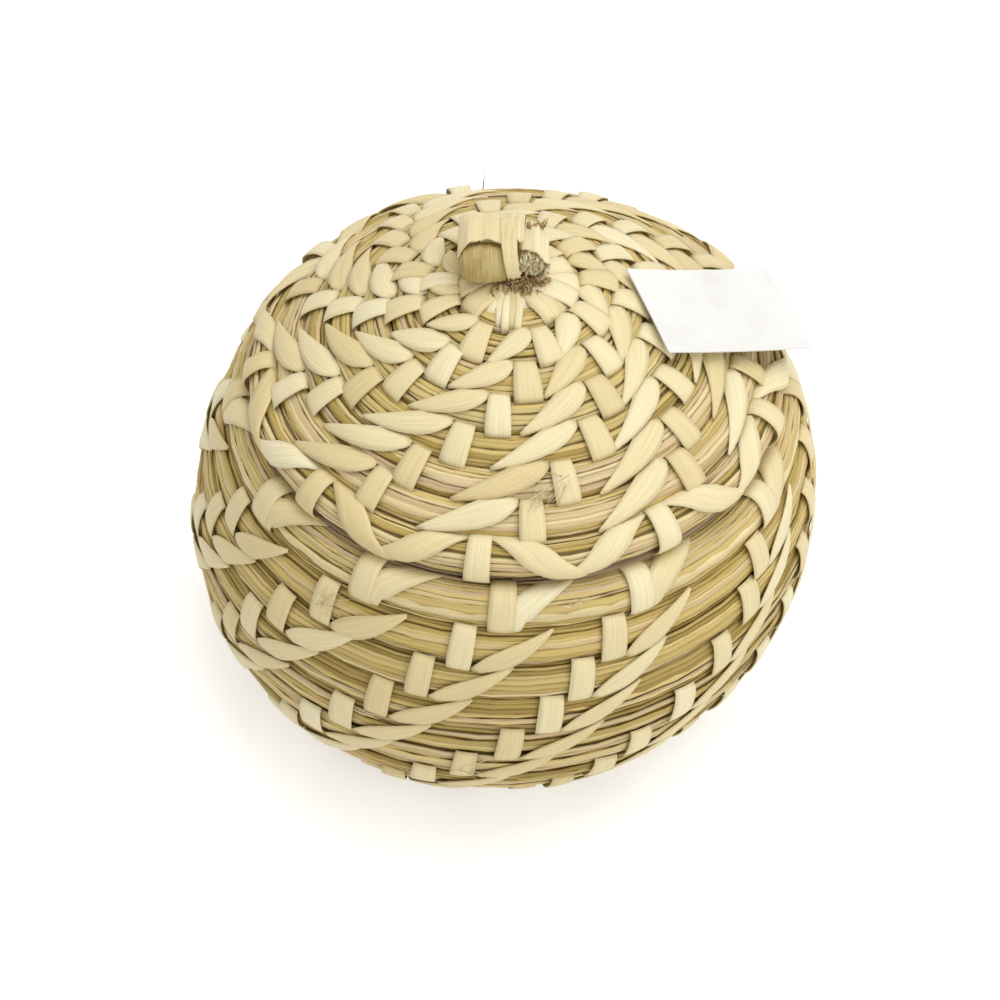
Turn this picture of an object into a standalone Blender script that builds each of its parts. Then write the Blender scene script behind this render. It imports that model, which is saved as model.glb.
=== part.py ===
"""Coiled grass basket with a domed lift-off lid.

Two bundles of grass are wound into spirals, one for the bowl and one for the lid. Each round is sewn
to the round before it with flat strips in a split stitch: a straight strip and a leaning leaf-shaped
strip rise from one hole, and the next round's stitch splits the end of the leaning one. The stitches
line up as leaning arms. Metres, +Z up, the origin under the middle of the bowl's belly on the floor.
"""

import math

import bmesh
import bpy
import numpy as np
from mathutils import Euler, Vector

TAU = 2 * math.pi
FRONT = 1.5 * math.pi

# Bowl, to the middle line of its coiled wall
BASE_RADIUS = 0.038
BELLY_RADIUS = 0.0754
BELLY_HEIGHT = 0.050
MOUTH_RADIUS = 0.0665
MOUTH_HEIGHT = 0.0860
SHOULDER_POWER = 1.8
LEAN = 0.07
BOWL_PITCH = 0.0096
BOWL_COIL_WIDTH = 0.0085
BOWL_COIL_DEPTH = 0.0090

# Lid, to the middle line of its coiled wall
LID_RADIUS = 0.0610
LID_RISE = 0.0262
LID_DOME_POWER = 1.7
LID_PITCH = 0.0081
LID_COIL_WIDTH = 0.0072
LID_COIL_DEPTH = 0.0080

# Ledge coil inside the mouth
LEDGE_RISE = 0.0024
LEDGE_COIL_RADIUS = 0.0045

# Spiral
POINTS_PER_ROUND = 24
LEAST_COIL_GAP = 0.0004
LEVEL_PER_ROUND = 0.15
LEVEL_SHARE = 0.5
TAPER_ANGLE = math.radians(75)
TIP_SHARE = 0.3
FLAT_DEPTH = BOWL_COIL_DEPTH / 10

# Stitches
STRIP_WIDTH = 0.0057
STRIP_THICKNESS = 0.0006
STRIP_GAP = 0.0006
LEAF_WIDTH = 0.0080
LEAF_START = 0.0016
SEAM_MARGIN = 0.0005
BOWL_ARM_ANGLES = (-178, -148.5, -119, -89.5, -60, -26.7, 2, 30.3, 57.2, 86.7, 116.2, 145.7)
BOWL_ARM_STEP = math.radians(6.7)
BOWL_LEAF_SPAN = math.radians(14)
BOWL_STITCHED_ROUNDS = 9
LID_ARMS = 9
LID_ARM_STEP = math.radians(12)
LID_LEAF_SPAN = math.radians(22)
LID_STITCHED_ROUNDS = 6
BINDING_WIDTH = 0.0050
BINDING_BAR = 0.0010
LID_FRONT_STITCH = math.radians(-7)

# Clearance between pieces that rest on each other
SEAT_GAP = 0.0004

# Knob, with sides measured from the lid's axis and depths from front to back
ROLL_RADIUS = 0.0050
ROLL_LENGTH = 0.0102
ROLL_SIDE = -0.0064
STRAP_WIDTH = 0.0150
STRAP_SIDE = -0.0044
STRAP_FOOT = 0.0165
KNOB_LEAF_THICKNESS = 0.0007
STUB_RADIUS = 0.0032
STUB_LENGTH = 0.0110
STUB_SIDE = 0.0043
STUB_FRONT = -0.0012
WRAP_RADIUS = 0.0050
WRAP_HEIGHT = 0.0015
WRAP_SIDE = 0.0040
WRAP_FRONT = -0.0010

# Paper card, placed from where its plane touches the dome
CARD_LENGTH = 0.0426
CARD_WIDTH = 0.0258
CARD_THICKNESS = 0.0004
CARD_TOUCH = 0.0300
CARD_REACH = 0.0201
CARD_SHIFT = 0.0036
CARD_TURN = math.radians(23.4)

UPRIGHT = Euler((0, 0, 0))
LYING_SIDEWAYS = Euler((0, math.pi / 2, 0))
LYING_BACKWARD = Euler((-math.pi / 2, 0, 0))

# Colours
STRAW = (0.85, 0.75, 0.48)
GRASS = (0.50, 0.38, 0.17)
OLIVE = (0.42, 0.31, 0.12)
BROWN = (0.22, 0.12, 0.06)
PAPER = (0.88, 0.88, 0.86)


def clear_objects():
    for item in list(bpy.data.objects):
        bpy.data.objects.remove(item, do_unlink=True)


def make_material(name, colour, roughness):
    material = bpy.data.materials.new(name)
    material.use_nodes = True
    shader = material.node_tree.nodes["Principled BSDF"]
    shader.inputs["Base Color"].default_value = (*colour, 1.0)
    shader.inputs["Roughness"].default_value = roughness
    shader.inputs["Metallic"].default_value = 0.0
    return material


def add_object(name, mesh, colour, roughness=0.7):
    item = bpy.data.objects.new(name, mesh)
    bpy.context.scene.collection.objects.link(item)
    item.data.materials.append(make_material(name, colour, roughness))
    return item


def smooth(mesh, angle=50):
    mesh.shade_smooth()
    mesh.set_sharp_from_angle(angle=math.radians(angle))


class Wall:
    """The middle line of a turned wall, measured along its length from the axis."""

    def __init__(self, radii, heights, outside):
        self.radii = np.array(radii)
        self.heights = np.array(heights)
        self.outside = outside
        steps = np.hypot(np.diff(self.radii), np.diff(self.heights))
        self.lengths = np.concatenate(([0.0], np.cumsum(steps)))

    def line(self, distance):
        return (
            float(np.interp(distance, self.lengths, self.radii)),
            float(np.interp(distance, self.lengths, self.heights)),
        )

    def point(self, distance, along=0.0, out=0.0):
        """Radius and height of a point moved straight along the wall and out of it."""
        step = 0.0005
        before = self.line(distance - step)
        after = self.line(distance + step)
        run = math.hypot(after[0] - before[0], after[1] - before[1])
        slope = ((after[0] - before[0]) / run, (after[1] - before[1]) / run)
        radius, height = self.line(distance)
        normal = (self.outside * slope[1], -self.outside * slope[0])
        return (
            radius + along * slope[0] + out * normal[0],
            height + along * slope[1] + out * normal[1],
        )


class Coil:
    """A bundle wound along a wall. Its angle is 0 at the front of its last round.

    The spiral is even in the middle. Further out the maker works much of each round's step into the
    back, so the front is closer to level.
    """

    def __init__(self, wall, pitch, width, depth, start, end, turn, drift):
        self.wall = wall
        self.pitch = pitch
        self.half_width = width / 2
        self.half_depth = depth / 2
        self.end = end
        self.turn = turn
        self.drift = drift
        self.first_angle = TAU * (start - end) / pitch
        self.last_angle = math.pi

    def distance(self, angle):
        rounds = (angle - self.first_angle) / TAU
        level = min(LEVEL_SHARE, max(0.0, LEVEL_PER_ROUND * rounds))
        return self.end + self.pitch * (angle - level * math.sin(angle)) / TAU

    def thickness(self, angle):
        """Share of the full section, which tapers at both tips."""
        ahead = (angle - self.first_angle) / TAPER_ANGLE
        behind = (self.last_angle - angle) / TAPER_ANGLE
        return TIP_SHARE + (1 - TIP_SHARE) * math.sin(math.pi / 2 * min(1.0, ahead, behind))

    def place(self, angle, radius, height):
        turned = FRONT + self.turn * angle
        return Vector((
            radius * math.cos(turned) + self.drift(height),
            radius * math.sin(turned),
            height,
        ))

    def surface(self, angle, side):
        """A point of a strip that crosses the round from seam to seam, side running from -1 to 1."""
        share = 1.0
        if side > -0.5 and angle > 0:
            share = self.thickness(angle)
        rise = (1 + abs(1 - abs(side))) / 2
        along = side * self.pitch / 2 * share - self.half_width * (1 - share)
        out = self.half_depth * rise * share + STRIP_GAP
        radius, height = self.wall.point(self.distance(angle) + along, out=out)
        return self.place(angle, radius, height)

    def radius(self, angle, side=0.0):
        return self.wall.line(self.distance(angle) + side * self.pitch / 2)[0]

    def section(self, angle):
        """The six corners of the bundle, as radius and height. A tip lies against the round before."""
        share = self.thickness(angle)
        back = 0.0
        if angle > 0:
            back = -self.half_width * (1 - share)
        corners = []
        for side, rise in ((0, 1), (1, 0.5), (1, -0.5), (0, -1), (-1, -0.5), (-1, 0.5)):
            along = side * self.half_width * share + back
            corners.append(self.wall.point(self.distance(angle), along, rise * self.half_depth * share))
        return corners

    def angles(self):
        count = round((self.last_angle - self.first_angle) / TAU * POINTS_PER_ROUND)
        return np.linspace(self.first_angle, self.last_angle, count + 1)


def bowl_wall():
    base_height = BOWL_COIL_DEPTH / 2 - FLAT_DEPTH
    turns = np.linspace(0, math.pi / 2, 60)
    rise = np.linspace(0, 1.3, 80)[1:]
    radii = np.concatenate((
        [0.0],
        BASE_RADIUS + (BELLY_RADIUS - BASE_RADIUS) * np.sin(turns),
        BELLY_RADIUS - (BELLY_RADIUS - MOUTH_RADIUS) * rise ** SHOULDER_POWER,
    ))
    heights = np.concatenate((
        [base_height],
        BELLY_HEIGHT - (BELLY_HEIGHT - base_height) * np.cos(turns),
        BELLY_HEIGHT + (MOUTH_HEIGHT - BELLY_HEIGHT) * rise,
    ))
    return Wall(radii, heights, 1)


def lid_wall(rim_height):
    radii = np.linspace(0, LID_RADIUS + LID_PITCH, 120)
    heights = rim_height + LID_RISE * (1 - (radii / LID_RADIUS) ** LID_DOME_POWER)
    return Wall(radii, heights, -1)


def bowl_drift(height):
    """The hand-made bowl leans a little to one side."""
    return LEAN * (height - BELLY_HEIGHT)


def lid_drift(_height):
    return bowl_drift(MOUTH_HEIGHT)


def bowl_coil_path():
    wall = bowl_wall()
    end = float(np.interp(MOUTH_HEIGHT, wall.heights[1:], wall.lengths[1:]))
    start = BOWL_COIL_WIDTH / 2 + LEAST_COIL_GAP
    return Coil(wall, BOWL_PITCH, BOWL_COIL_WIDTH, BOWL_COIL_DEPTH, start, end, -1, bowl_drift)


def lid_coil_path(rim_height):
    wall = lid_wall(rim_height)
    end = float(np.interp(LID_RADIUS, wall.radii, wall.lengths))
    start = LID_COIL_WIDTH / 2 + LEAST_COIL_GAP
    return Coil(wall, LID_PITCH, LID_COIL_WIDTH, LID_COIL_DEPTH, start, end, 1, lid_drift)


def outline_points(corners, per_side=6):
    """Points around a closed outline of corners."""
    corners = np.array(corners)
    following = np.roll(corners, -1, axis=0)
    shares = np.linspace(0, 1, per_side, endpoint=False)[:, None, None]
    return (corners + (following - corners) * shares).reshape(-1, 2)


def least_distance(first, second):
    apart = first[:, None, :] - second[None, :, :]
    return float(np.sqrt((apart ** 2).sum(axis=2)).min())


def print_coil_gap(name, coil):
    """Measure the least gap between each round and the next, on points of both outlines."""
    gap = min(
        least_distance(outline_points(coil.section(angle)), outline_points(coil.section(angle + TAU)))
        for angle in coil.angles()
        if angle + TAU <= coil.last_angle
    )
    print(f"{name}: least gap between rounds {gap * 1000:.2f} mm, allowed {LEAST_COIL_GAP * 1000:.2f} mm")


def ledge_corners(radius):
    """The six corners of the ledge coil, as radius and height."""
    height = MOUTH_HEIGHT + LEDGE_RISE
    return [
        (
            radius + LEDGE_COIL_RADIUS * math.cos(step * TAU / 6),
            height + LEDGE_COIL_RADIUS * math.sin(step * TAU / 6),
        )
        for step in range(6)
    ]


def largest(low, high, fits):
    """The largest value that fits, by halving."""
    for _ in range(20):
        middle = (low + high) / 2
        if fits(middle):
            low = middle
        else:
            high = middle
    return low


def rim_outlines(bowl):
    """Outlines of the bowl's last rounds, by angle, with radii from the ledge's and lid's axis."""
    centre = bowl_drift(MOUTH_HEIGHT)
    outlines = []
    for angle in bowl.angles():
        if angle > bowl.last_angle - 2.2 * TAU:
            corners = [bowl.place(angle, radius, height) for radius, height in bowl.section(angle)]
            outline = outline_points([(math.hypot(x - centre, y), z) for x, y, z in corners])
            outlines.append((angle, outline))
    return outlines


def ledge_radius(outlines):
    """The ledge coil lies against the inside of the bowl's last rounds."""

    def fits(radius):
        ledge = outline_points(ledge_corners(radius))
        return all(least_distance(ledge, outline) >= SEAT_GAP for _, outline in outlines)

    return largest(MOUTH_RADIUS - 5 * LEDGE_COIL_RADIUS, MOUTH_RADIUS, fits)


def seated_rim_height(outlines, radius):
    """Height at which the lid's last rounds come to rest on the ledge coil or in the mouth."""
    rim = lid_coil_path(0.0)
    ledge = outline_points(ledge_corners(radius))
    pairs = []
    for angle, outline in outlines:
        facing = math.remainder(-angle, TAU)
        for lid_angle in (facing, facing - TAU):
            if lid_angle <= rim.last_angle:
                lid = outline_points(rim.section(lid_angle))
                pairs.append((lid, outline))
                pairs.append((lid, ledge))

    def clears(drop):
        height = MOUTH_HEIGHT + 2 * BOWL_COIL_WIDTH - drop
        return all(least_distance(lid + (0, height), other) >= SEAT_GAP for lid, other in pairs)

    return MOUTH_HEIGHT + 2 * BOWL_COIL_WIDTH - largest(0.0, 2 * BOWL_COIL_WIDTH, clears)


def tube_mesh(name, rings):
    """One closed tube through rings of corners, with a face over each tip."""
    mesh = bpy.data.meshes.new(name)
    shape = bmesh.new()
    loops = [[shape.verts.new(corner) for corner in ring] for ring in rings]
    for here, ahead in zip(loops, loops[1:]):
        for index in range(len(here)):
            after = (index + 1) % len(here)
            shape.faces.new((here[index], here[after], ahead[after], ahead[index]))
    shape.faces.new(reversed(loops[0]))
    shape.faces.new(loops[-1])
    bmesh.ops.recalc_face_normals(shape, faces=shape.faces)
    shape.to_mesh(mesh)
    shape.free()
    smooth(mesh)
    return mesh


def ring_mesh(name, rings):
    """A closed ring through its sections."""
    mesh = bpy.data.meshes.new(name)
    shape = bmesh.new()
    loops = [[shape.verts.new(corner) for corner in ring] for ring in rings]
    for here, ahead in zip(loops, loops[1:] + loops[:1]):
        for index in range(len(here)):
            after = (index + 1) % len(here)
            shape.faces.new((here[index], here[after], ahead[after], ahead[index]))
    bmesh.ops.recalc_face_normals(shape, faces=shape.faces)
    shape.to_mesh(mesh)
    shape.free()
    smooth(mesh)
    return mesh


def coil_mesh(name, coil):
    rings = []
    for angle in coil.angles():
        rings.append([coil.place(angle, radius, height) for radius, height in coil.section(angle)])
    return tube_mesh(name, rings)


def sheet_object(name, sheet, colour):
    """The sheet thickened outward from its coil."""
    mesh = bpy.data.meshes.new(name)
    mesh.from_pydata(sheet.points, [], sheet.faces)
    smooth(mesh, 80)
    item = add_object(name, mesh, colour, 0.55)
    solid = item.modifiers.new("Thickness", "SOLIDIFY")
    solid.thickness = STRIP_THICKNESS
    solid.offset = 1.0
    return item


class Sheet:
    """Points and faces of a strip that lies on a coil."""

    def __init__(self, coil):
        self.coil = coil
        self.points = []
        self.faces = []

    def row(self, side, *angles):
        first = len(self.points)
        for angle in angles:
            self.points.append(self.coil.surface(angle, side))
        return list(range(first, len(self.points)))

    def face(self, *corners):
        self.faces.append(corners)


def stitch_arm(name, coil, last_angle, rounds, arms, step, span, colour):
    """One leaning arm of split stitches, from its first round to the coil's last stitched round.

    Each stitch has a straight strip and a leaf-shaped strip that leans back against the coil's turn.
    The next stitch rises from the leaf's end, which it splits.
    """
    sheet = Sheet(coil)
    spacing = (TAU - step) / arms
    seams = []
    for row in range(rounds):
        middle = last_angle - (rounds - 1 - row) * (TAU - step)
        radius = coil.radius(middle, -1)
        half = min(STRIP_WIDTH / 2 / radius, spacing / 5)
        leaf = middle - half - LEAF_START / radius
        base = sheet.row(-1, middle + half, middle, middle - half, leaf)
        below = middle + step
        leaf_end = []
        strip_end = []
        if row > 0:
            near = max(below - half, middle + half + 2 * STRIP_THICKNESS / radius)
            leaf_end = sheet.row(-1, below - half - span)
            strip_end = sheet.row(-1, below + half, near)
        seams.append((middle, base, leaf_end, strip_end))

    for row, (middle, base, _, _) in enumerate(seams):
        radius = coil.radius(middle)
        half = min(STRIP_WIDTH / 2 / radius, spacing / 5)
        leaf_half = min(LEAF_WIDTH / 2 / radius, spacing / 5)
        leaf_middle = middle - half - span / 2
        strip = sheet.row(0, middle + half, middle - half)
        leaf = sheet.row(0, leaf_middle + leaf_half, leaf_middle - leaf_half)
        sheet.face(base[0], base[1], strip[0])
        sheet.face(base[1], base[2], strip[1], strip[0])
        sheet.face(base[2], base[3], leaf[1], leaf[0])
        if row + 1 < rounds:
            _, above, leaf_end, strip_end = seams[row + 1]
            sheet.face(leaf[0], leaf[1], leaf_end[0], above[3])
            sheet.face(leaf[0], above[3], above[2])
            sheet.face(leaf[0], above[2], above[1])
        else:
            top = 1 - 2 * SEAM_MARGIN / coil.pitch
            tip = middle - half - span
            leaf_end = sheet.row(top, tip + 2 * LEAF_START / radius, tip)
            strip_end = sheet.row(top, middle + half, middle - half)
            sheet.face(leaf[0], leaf[1], leaf_end[1], leaf_end[0])
        sheet.face(strip[0], strip[1], strip_end[1], strip_end[0])

    middle, base, _, _ = seams[0]
    radius = coil.radius(middle, -1)
    half = min(STRIP_WIDTH / 2 / radius, spacing / 5)
    root_side = -1 - 2 * BINDING_BAR / coil.pitch
    root = sheet.row(root_side, middle + half, middle, middle - half, middle - half - LEAF_START / radius)
    for index in range(3):
        sheet.face(root[index], root[index + 1], base[index + 1], base[index])
    return sheet_object(name, sheet, colour)


def rim_binding(name, coil, first_peak, arms, colour):
    """A zigzag strip along the lid's last round, with a short straight strip under each peak."""
    sheet = Sheet(coil)
    spacing = TAU / arms
    margin = 2 * SEAM_MARGIN / coil.pitch
    bar = 2 * BINDING_BAR / coil.pitch
    valley = []
    for arm in range(arms):
        peak = first_peak + arm * spacing
        radius = coil.radius(peak)
        half = STRIP_WIDTH / 2 / radius
        leg = BINDING_WIDTH / radius
        bar_angles = (peak + half + leg, peak + half, peak - half, peak - half - leg)
        upper = sheet.row(margin - 1, *bar_angles)
        under = sheet.row(margin + bar - 1, *bar_angles)
        for index in range(3):
            sheet.face(upper[index], upper[index + 1], under[index + 1], under[index])
        middle = sheet.row(0, peak + half, peak - half)
        end = sheet.row(1 - bar, peak + half, peak - half)
        sheet.face(under[1], under[2], middle[1], middle[0])
        sheet.face(middle[0], middle[1], end[1], end[0])
        if valley:
            knee_middle = peak - spacing / 4 - half / 2
            knee = sheet.row(0, knee_middle + leg * 0.7, knee_middle - leg * 0.7)
            sheet.face(under[2], under[3], knee[1], knee[0])
            sheet.face(knee[0], knee[1], valley[1], valley[0])
        if arm + 1 < arms:
            low = peak + spacing / 2
            valley = sheet.row(1 - bar, low + leg, low, low - leg)
            edge = sheet.row(1, low + leg, low, low - leg)
            knee_middle = peak + spacing / 4 + half / 2
            knee = sheet.row(0, knee_middle + leg * 0.7, knee_middle - leg * 0.7)
            sheet.face(under[0], under[1], knee[1], knee[0])
            sheet.face(knee[0], knee[1], valley[2], valley[1])
            sheet.face(valley[0], valley[1], edge[1], edge[0])
            sheet.face(valley[1], valley[2], edge[2], edge[1])
    return sheet_object(name, sheet, colour)


def turned_object(name, outline, colour, axis_turn, place, sides=24):
    """A solid turned around its own axis from radii and heights, then laid over and placed."""
    rings = []
    for radius, height in outline:
        ring = []
        for side in range(sides):
            angle = side * TAU / sides
            point = Vector((radius * math.cos(angle), radius * math.sin(angle), height))
            point.rotate(axis_turn)
            ring.append(point)
        rings.append(ring)
    item = add_object(name, tube_mesh(name, rings), colour, 0.8)
    item.location = place
    return item


def band_object(name, profile, near, far, thickness, outward, colour):
    """A leaf band bent along a profile of depths and heights, as wide as from near to far."""
    points = []
    faces = []
    for index, (depth, height) in enumerate(profile):
        points.append((near, depth, height))
        points.append((far, depth, height))
        if index > 0:
            start = 2 * index - 2
            faces.append((start, start + 1, start + 3, start + 2))
    mesh = bpy.data.meshes.new(name)
    mesh.from_pydata(points, [], faces)
    smooth(mesh, 80)
    item = add_object(name, mesh, colour, 0.55)
    solid = item.modifiers.new("Thickness", "SOLIDIFY")
    solid.thickness = thickness
    solid.offset = outward
    return item


clear_objects()

bowl = bowl_coil_path()
outlines = rim_outlines(bowl)
ledge = ledge_radius(outlines)
rim_height = seated_rim_height(outlines, ledge)
lid = lid_coil_path(rim_height)
axis = lid_drift(rim_height)
print_coil_gap("bowl_coil", bowl)
print_coil_gap("lid_coil", lid)
print(f"ledge radius {ledge * 1000:.2f} mm, lid rim height {rim_height * 1000:.2f} mm")

# Bowl coil, cut flat where the basket stands
bowl_coil = add_object("bowl_coil", coil_mesh("bowl_coil", bowl), GRASS)
bpy.ops.mesh.primitive_cube_add(size=3 * BASE_RADIUS, location=(0, 0, -1.5 * BASE_RADIUS))
cutter = bpy.context.object
cutter.name = "base_cutter"
cutter.display_type = "WIRE"
cutter.hide_render = True
cut = bowl_coil.modifiers.new("Flat base", "BOOLEAN")
cut.operation = "DIFFERENCE"
cut.solver = "EXACT"
cut.object = cutter

# Ledge coil
ledge_rings = []
for step in range(POINTS_PER_ROUND):
    turned = step * TAU / POINTS_PER_ROUND
    ledge_rings.append([
        Vector((axis + radius * math.cos(turned), radius * math.sin(turned), height))
        for radius, height in ledge_corners(ledge)
    ])
add_object("ledge_coil", ring_mesh("ledge_coil", ledge_rings), GRASS)

# Bowl stitches, one leaning arm after the other along the coil, unevenly spaced by hand
for arm, angle in enumerate(BOWL_ARM_ANGLES):
    stitch_arm(
        f"bowl_stitch_arm_{arm + 1:02d}",
        bowl,
        math.radians(angle),
        BOWL_STITCHED_ROUNDS,
        len(BOWL_ARM_ANGLES),
        BOWL_ARM_STEP,
        BOWL_LEAF_SPAN,
        STRAW,
    )

# Lid coil and its stitches
lid_pieces = [add_object("lid_coil", coil_mesh("lid_coil", lid), GRASS)]
for arm in range(LID_ARMS):
    lid_pieces.append(stitch_arm(
        f"lid_stitch_arm_{arm + 1:02d}",
        lid,
        LID_FRONT_STITCH + (arm - LID_ARMS // 2 - LID_ARMS) * (TAU - LID_ARM_STEP) / LID_ARMS,
        LID_STITCHED_ROUNDS,
        LID_ARMS,
        LID_ARM_STEP,
        LID_LEAF_SPAN,
        STRAW,
    ))
first_peak = LID_FRONT_STITCH - LID_ARMS // 2 * TAU / LID_ARMS
lid_pieces.append(rim_binding("lid_rim_binding", lid, first_peak, LID_ARMS, STRAW))

# Knob: a rolled leaf, a strap over it, and a bundle's stub in a leaf on a pad of fibres
roll_rest = lid.wall.line(abs(ROLL_SIDE))[1] + lid.half_depth + SEAT_GAP
roll_height = roll_rest + ROLL_RADIUS
roll_outline = []
for share in np.linspace(-1, 1, 9):
    bulge = math.sqrt(1 - (0.93 * share) ** 2)
    roll_outline.append((ROLL_RADIUS * (0.55 + 0.45 * bulge), share * ROLL_LENGTH / 2))
lid_pieces.append(turned_object(
    "knob_roll", roll_outline, OLIVE, LYING_SIDEWAYS, (axis + ROLL_SIDE, 0, roll_height),
))

strap_height = roll_height + ROLL_RADIUS + SEAT_GAP
foot_height = lid.wall.line(STRAP_FOOT)[1] + lid.half_depth + STRIP_GAP + STRIP_THICKNESS + SEAT_GAP
strap_profile = [
    (0.0000, strap_height),
    (0.0040, strap_height + 0.0002),
    (0.0085, strap_height),
    (0.0125, strap_height - 0.0014),
    (0.0155, strap_height - 0.0042),
    (STRAP_FOOT, strap_height - 0.0080),
    (STRAP_FOOT, foot_height),
]
lid_pieces.append(band_object(
    "knob_strap",
    strap_profile,
    axis + STRAP_SIDE - STRAP_WIDTH / 2,
    axis + STRAP_SIDE + STRAP_WIDTH / 2,
    KNOB_LEAF_THICKNESS,
    1.0,
    STRAW,
))

wrap_rest = lid.wall.line(LID_COIL_WIDTH)[1] + lid.half_depth + SEAT_GAP
wrap_outline = [
    (WRAP_RADIUS * 0.80, 0.0),
    (WRAP_RADIUS, WRAP_HEIGHT * 0.3),
    (WRAP_RADIUS * 0.95, WRAP_HEIGHT * 0.75),
    (WRAP_RADIUS * 0.75, WRAP_HEIGHT),
]
lid_pieces.append(turned_object(
    "knob_wrap", wrap_outline, BROWN, UPRIGHT, (axis + WRAP_SIDE, WRAP_FRONT, wrap_rest),
))

stub_height = wrap_rest + WRAP_HEIGHT + SEAT_GAP + STUB_RADIUS
stub_outline = [
    (STUB_RADIUS * 0.90, 0.0),
    (STUB_RADIUS, 0.0006),
    (STUB_RADIUS, STUB_LENGTH * 0.6),
    (STUB_RADIUS * 0.75, STUB_LENGTH),
]
lid_pieces.append(turned_object(
    "knob_stub", stub_outline, GRASS, LYING_BACKWARD, (axis + STUB_SIDE, STUB_FRONT, stub_height),
))

# The leaf around the stub, on its right
leaf_radius = STUB_RADIUS + SEAT_GAP
leaf_mesh = bpy.data.meshes.new("knob_leaf")
leaf_points = []
leaf_faces = []
for index, turned in enumerate(np.radians(np.linspace(-35, 125, 9))):
    side = axis + STUB_SIDE + leaf_radius * math.cos(turned)
    height = stub_height + leaf_radius * math.sin(turned)
    leaf_points.append((side, STUB_FRONT + 0.0008, height))
    leaf_points.append((side, STUB_FRONT + 0.8 * STUB_LENGTH, height))
    if index > 0:
        start = 2 * index - 2
        leaf_faces.append((start, start + 2, start + 3, start + 1))
leaf_mesh.from_pydata(leaf_points, [], leaf_faces)
smooth(leaf_mesh, 80)
knob_leaf = add_object("knob_leaf", leaf_mesh, STRAW, 0.55)
leaf_solid = knob_leaf.modifiers.new("Thickness", "SOLIDIFY")
leaf_solid.thickness = KNOB_LEAF_THICKNESS
leaf_solid.offset = -1.0
lid_pieces.append(knob_leaf)

# Paper card, flat against the dome and overhanging the rim
touch = lid.half_depth + STRIP_GAP + STRIP_THICKNESS + SEAT_GAP + CARD_THICKNESS / 2
touch_radius, touch_height = lid.wall.point(CARD_TOUCH, out=touch)
beyond_radius, beyond_height = lid.wall.point(CARD_TOUCH, along=CARD_REACH, out=touch)
card_slope = math.atan2(touch_height - beyond_height, beyond_radius - touch_radius)
bpy.ops.mesh.primitive_cube_add(size=1)
card = bpy.context.object
card.name = "paper_card"
card.scale = (CARD_LENGTH, CARD_WIDTH, CARD_THICKNESS)
bpy.ops.object.transform_apply(location=False, rotation=False, scale=True)
tilt = Euler((0, card_slope, 0)).to_matrix()
turned = Euler((0, 0, CARD_TURN)).to_matrix()
card.rotation_euler = (tilt @ turned).to_euler()
card.location = (axis + beyond_radius, CARD_SHIFT, beyond_height)
card.data.materials.append(make_material("paper_card", PAPER, 0.8))
lid_pieces.append(card)

# The lid lifts straight up from where it rests
lid_frame = bpy.data.objects.new("lid", None)
bpy.context.scene.collection.objects.link(lid_frame)
lid_frame.location = (axis, 0, rim_height)
bpy.context.view_layer.update()
for piece in lid_pieces:
    piece.parent = lid_frame
    piece.matrix_parent_inverse = lid_frame.matrix_world.inverted()
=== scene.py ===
"""Looks of a coiled grass basket with a domed lid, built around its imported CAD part."""

import math

import bmesh
import bpy
import numpy as np
from mathutils import Euler, Matrix, Vector


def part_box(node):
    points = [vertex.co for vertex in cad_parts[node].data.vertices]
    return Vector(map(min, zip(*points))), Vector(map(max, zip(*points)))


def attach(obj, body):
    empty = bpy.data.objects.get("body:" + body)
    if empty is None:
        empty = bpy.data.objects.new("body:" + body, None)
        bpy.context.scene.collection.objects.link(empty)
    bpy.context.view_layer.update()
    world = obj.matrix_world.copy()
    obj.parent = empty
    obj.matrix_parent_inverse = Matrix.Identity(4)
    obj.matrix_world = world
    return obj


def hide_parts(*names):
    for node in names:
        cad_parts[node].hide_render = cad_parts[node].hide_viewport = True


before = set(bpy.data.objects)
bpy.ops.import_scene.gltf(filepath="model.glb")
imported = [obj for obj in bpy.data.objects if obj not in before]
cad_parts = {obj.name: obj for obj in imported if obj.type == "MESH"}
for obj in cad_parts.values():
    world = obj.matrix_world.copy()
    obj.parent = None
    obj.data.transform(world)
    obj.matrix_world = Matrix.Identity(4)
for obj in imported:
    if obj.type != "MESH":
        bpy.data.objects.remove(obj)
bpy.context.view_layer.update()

# Camera. It looks down on the basket from the front at about 49 degrees, from just over half a metre.
# It stands where the photograph's perspective puts it, with the lid a little above the picture's middle.
TAU = 2 * math.pi
LID_AXIS = 0.00252
SIGHT_POINT = Vector((LID_AXIS, 0, 0.100))
SIGHT_ELEVATION = math.radians(45.36)
SIGHT_DISTANCE = 0.5737
FOCAL_PIXELS = 2352
PICTURE_PIXELS = 1000
SENSOR_WIDTH = 36
SIGHT_PIXEL = (512.07, 356.55)

camera_data = bpy.data.cameras.new("Camera")
camera = bpy.data.objects.new("Camera", camera_data)
bpy.context.scene.collection.objects.link(camera)
camera_data.sensor_width = SENSOR_WIDTH
camera_data.lens = SENSOR_WIDTH * FOCAL_PIXELS / PICTURE_PIXELS
camera_data.clip_start = 0.01
camera_data.clip_end = 20
away = Vector((0, -math.cos(SIGHT_ELEVATION), math.sin(SIGHT_ELEVATION)))
camera.location = SIGHT_POINT + away * SIGHT_DISTANCE
facing = Euler((math.pi / 2 - SIGHT_ELEVATION, 0, 0)).to_quaternion()
centre_pixel = PICTURE_PIXELS / 2
seen_at = Vector((SIGHT_PIXEL[0] - centre_pixel, centre_pixel - SIGHT_PIXEL[1], -FOCAL_PIXELS))
camera.rotation_euler = (facing @ seen_at.rotation_difference(Vector((0, 0, -1)))).to_euler()
bpy.context.scene.camera = camera

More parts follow.
